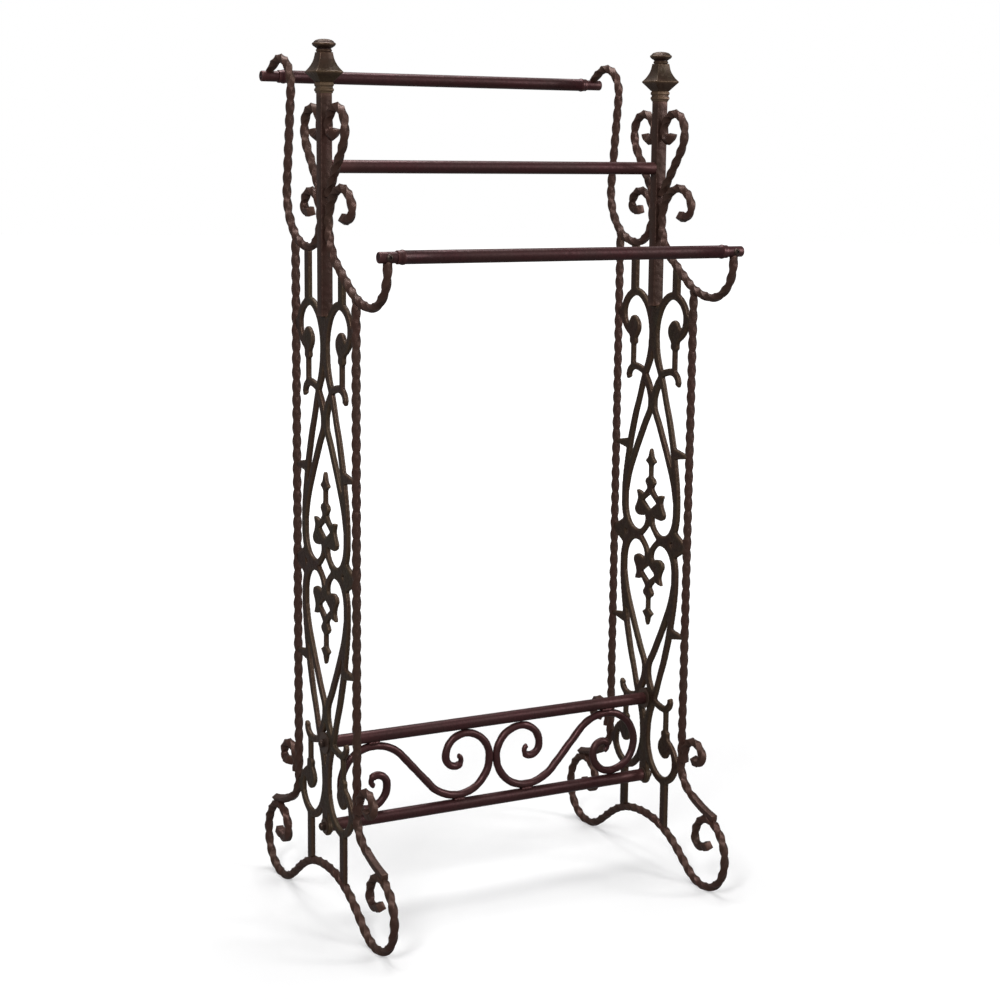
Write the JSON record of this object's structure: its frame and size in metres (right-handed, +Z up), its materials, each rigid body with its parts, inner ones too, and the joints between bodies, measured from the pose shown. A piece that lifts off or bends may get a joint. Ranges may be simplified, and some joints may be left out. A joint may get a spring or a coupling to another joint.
{
  "type": "quilt rack",
  "caption": "Free-standing wrought-iron quilt rack with scrolled side frames, three hanging rails at stepped heights and a scrollwork stretcher.",
  "frame": {"origin": "floor level under the middle of the rack", "axes": "+X along the rails, +Y towards the back, +Z up"},
  "size_m": [0.511, 0.4004, 1.0888],
  "materials": {
    "bar": "satin aged bronze over hammered and twisted bar",
    "casting": "satin aged bronze, lighter where rubbed",
    "rail": "satin reddish brown",
    "fastener": "satin dark bronze"
  },
  "bodies": {
    "root": {"left_post": "bar", "left_collar": "casting", "left_finial": "casting", "left_cast_panel": "casting", "left_rear_arm": "bar", "left_front_arm": "bar", "left_rear_heart_scroll": "bar", "left_front_heart_scroll": "bar", "left_rear_upright": "bar", "left_front_upright": "bar", "left_foot": "bar", "left_rear_foot_curl": "bar", "left_front_foot_curl": "bar", "left_rear_rail_plug": "rail", "left_front_rail_plug": "rail", "right_post": "bar", "right_collar": "casting", "right_finial": "casting", "right_cast_panel": "casting", "right_rear_arm": "bar", "right_front_arm": "bar", "right_rear_heart_scroll": "bar", "right_front_heart_scroll": "bar", "right_rear_upright": "bar", "right_front_upright": "bar", "right_foot": "bar", "right_rear_foot_curl": "bar", "right_front_foot_curl": "bar", "right_rear_rail_plug": "rail", "right_front_rail_plug": "rail", "rear_rail": "rail", "middle_rail": "rail", "front_rail": "rail", "upper_stretcher_rail": "rail", "lower_stretcher_rail": "rail", "left_s_scroll": "rail", "right_s_scroll": "rail", "front_rail_screws": "fastener", "stretcher_bolts": "fastener", "stretcher_washers": "fastener", "stretcher_plugs": "fastener"}
  },
  "joints": []
}
